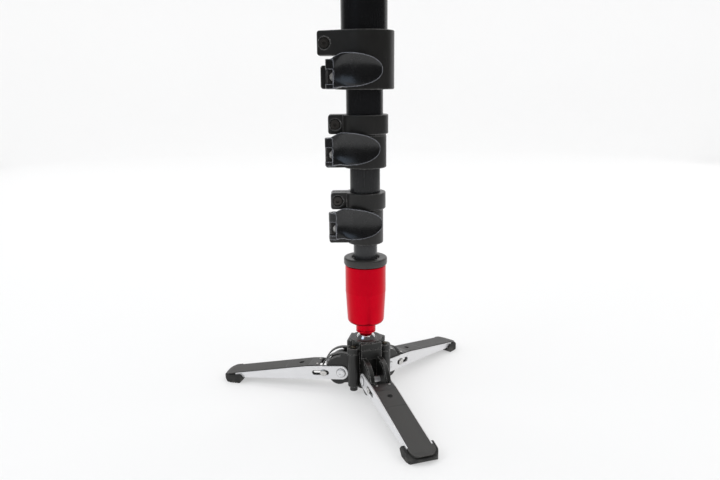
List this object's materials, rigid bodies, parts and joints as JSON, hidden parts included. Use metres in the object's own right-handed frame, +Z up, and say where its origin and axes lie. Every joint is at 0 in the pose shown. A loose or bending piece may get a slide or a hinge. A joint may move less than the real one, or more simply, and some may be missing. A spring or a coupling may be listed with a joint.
{
  "type": "monopod",
  "caption": "Telescoping video monopod with lever clamps, a turning damped cartridge on a ball joint and a folding foot with side-plated legs.",
  "frame": {"origin": "middle of the hub's flat underside, on the column's axis, 4 mm above the ground that the shoes stand on", "axes": "+Z up along the column, -Y towards the side that the clamp levers face, +X to the right seen from there"},
  "size_m": [0.2243, 0.2301, 0.6727],
  "materials": {
    "black_tube": "satin black anodised tube",
    "black_cast": "satin black painted casting",
    "black_gloss": "gloss black",
    "black_satin": "satin dark grey sheet",
    "black_rubber": "matt black rubber",
    "red_anodised": "glossy red anodised",
    "bright_aluminium": "bright silver sheet",
    "bright_steel": "bright steel",
    "dark_steel": "blackened steel",
    "chrome": "polished chrome",
    "pale_plastic": "pale bearing plastic",
    "grey_plastic": "grey guide plastic"
  },
  "bodies": {
    "foot_hub": {"hub": "black_cast", "ball_retainer": "black_cast", "hub_screw_1": "dark_steel", "hub_screw_2": "dark_steel", "hub_screw_3": "dark_steel"},
    "leg_front": {"leg_front_plate_left": "bright_aluminium", "leg_front_plate_right": "bright_aluminium", "leg_front_cover": "black_satin", "leg_front_shoe": "black_rubber", "leg_front_pivot_pin": "bright_steel", "leg_front_latch_spring": "bright_steel"},
    "latch_front": {"leg_front_latch_pin": "bright_steel"},
    "leg_right": {"leg_right_plate_left": "bright_aluminium", "leg_right_plate_right": "bright_aluminium", "leg_right_cover": "black_satin", "leg_right_shoe": "black_rubber", "leg_right_pivot_pin": "bright_steel", "leg_right_latch_spring": "bright_steel"},
    "latch_right": {"leg_right_latch_pin": "bright_steel"},
    "leg_left": {"leg_left_plate_left": "bright_aluminium", "leg_left_plate_right": "bright_aluminium", "leg_left_cover": "black_satin", "leg_left_shoe": "black_rubber", "leg_left_pivot_pin": "bright_steel", "leg_left_latch_spring": "bright_steel"},
    "latch_left": {"leg_left_latch_pin": "bright_steel"},
    "ball_ring": {"ball_seat": "pale_plastic"},
    "ball_stem": {"ball_stud": "chrome"},
    "section_4": {"cartridge_body": "red_anodised", "cartridge_cap": "black_cast", "tube_4": "black_tube", "tube_4_bush": "grey_plastic"},
    "section_3": {"tube_3": "black_tube", "tube_3_bush": "grey_plastic", "clamp_c_body": "black_cast", "clamp_c_liner": "grey_plastic", "clamp_c_screw": "dark_steel", "clamp_c_bolt": "dark_steel"},
    "lever_c_body": {"lever_c": "black_gloss", "lever_c_pin": "bright_steel"},
    "section_2": {"tube_2": "black_tube", "tube_2_bush": "grey_plastic", "clamp_b_body": "black_cast", "clamp_b_liner": "grey_plastic", "clamp_b_screw": "dark_steel", "clamp_b_bolt": "dark_steel"},
    "lever_b_body": {"lever_b": "black_gloss", "lever_b_pin": "bright_steel"},
    "section_1": {"tube_1": "black_tube", "clamp_a_body": "black_cast", "clamp_a_liner": "grey_plastic", "clamp_a_screw": "dark_steel", "clamp_a_bolt": "dark_steel", "grip": "black_rubber", "top_cap": "black_cast", "camera_plate": "black_cast", "camera_plate_pad": "black_rubber", "camera_screw": "bright_steel"},
    "lever_a_body": {"lever_a": "black_gloss", "lever_a_pin": "bright_steel"}
  },
  "joints": [
    {"name": "leg_front_fold", "type": "hinge", "parent": "foot_hub", "child": "leg_front", "pos_m": [0.0063, -0.01951, 0.013], "axis": [-0.9516, -0.3074, 0], "range_deg": [0, 85]},
    {"name": "leg_right_fold", "type": "hinge", "parent": "foot_hub", "child": "leg_right", "pos_m": [0.01374, 0.01521, 0.013], "axis": [0.742, -0.6704, 0], "range_deg": [0, 85]},
    {"name": "leg_left_fold", "type": "hinge", "parent": "foot_hub", "child": "leg_left", "pos_m": [-0.02005, 0.0043, 0.013], "axis": [0.2096, 0.9778, 0], "range_deg": [0, 85]},
    {"name": "latch_front_slide", "type": "slide", "parent": "leg_front", "child": "latch_front", "axis": [0.3066, -0.9493, -0.0698], "range_m": [0, 0.008], "stiffness_N_per_m": 400, "springref_m": -0.005, "deforming": ["leg_front_latch_spring"]},
    {"name": "latch_right_slide", "type": "slide", "parent": "leg_right", "child": "latch_right", "axis": [0.6688, 0.7402, -0.0698], "range_m": [0, 0.008], "stiffness_N_per_m": 400, "springref_m": -0.005, "deforming": ["leg_right_latch_spring"]},
    {"name": "latch_left_slide", "type": "slide", "parent": "leg_left", "child": "latch_left", "axis": [-0.9754, 0.2091, -0.0698], "range_m": [0, 0.008], "stiffness_N_per_m": 400, "springref_m": -0.005, "deforming": ["leg_left_latch_spring"]},
    {"name": "ball_tilt_1", "type": "hinge", "parent": "foot_hub", "child": "ball_ring", "pos_m": [0, 0, 0.0415], "axis": [0.8396, 0.5432, 0], "range_deg": [-15, 15]},
    {"name": "ball_tilt_2", "type": "hinge", "parent": "ball_ring", "child": "ball_stem", "pos_m": [0, 0, 0.0415], "axis": [-0.5432, 0.8396, 0], "range_deg": [-15, 15]},
    {"name": "column_turn", "type": "hinge", "parent": "ball_stem", "child": "section_4", "pos_m": [0, 0, 0.087], "axis": [0, 0, 1], "continuous": true},
    {"name": "section_3_slide", "type": "slide", "parent": "section_4", "child": "section_3", "axis": [0, 0, 1], "range_m": [-0.0125, 0.39]},
    {"name": "section_2_slide", "type": "slide", "parent": "section_3", "child": "section_2", "axis": [0, 0, 1], "range_m": [-0.02, 0.335]},
    {"name": "section_1_slide", "type": "slide", "parent": "section_2", "child": "section_1", "axis": [0, 0, 1], "range_m": [-0.0192, 0.285]},
    {"name": "lever_a_swing", "type": "hinge", "parent": "section_1", "child": "lever_a_body", "pos_m": [-0.026, -0.0166, 0.2685], "axis": [0, 0, -1], "range_deg": [0, 110]},
    {"name": "lever_b_swing", "type": "hinge", "parent": "section_2", "child": "lever_b_body", "pos_m": [-0.0277, -0.0119, 0.2078], "axis": [0, 0, -1], "range_deg": [0, 110]},
    {"name": "lever_c_swing", "type": "hinge", "parent": "section_3", "child": "lever_c_body", "pos_m": [-0.0257, -0.0098, 0.1466], "axis": [0, 0, -1], "range_deg": [0, 110]}
  ]
}
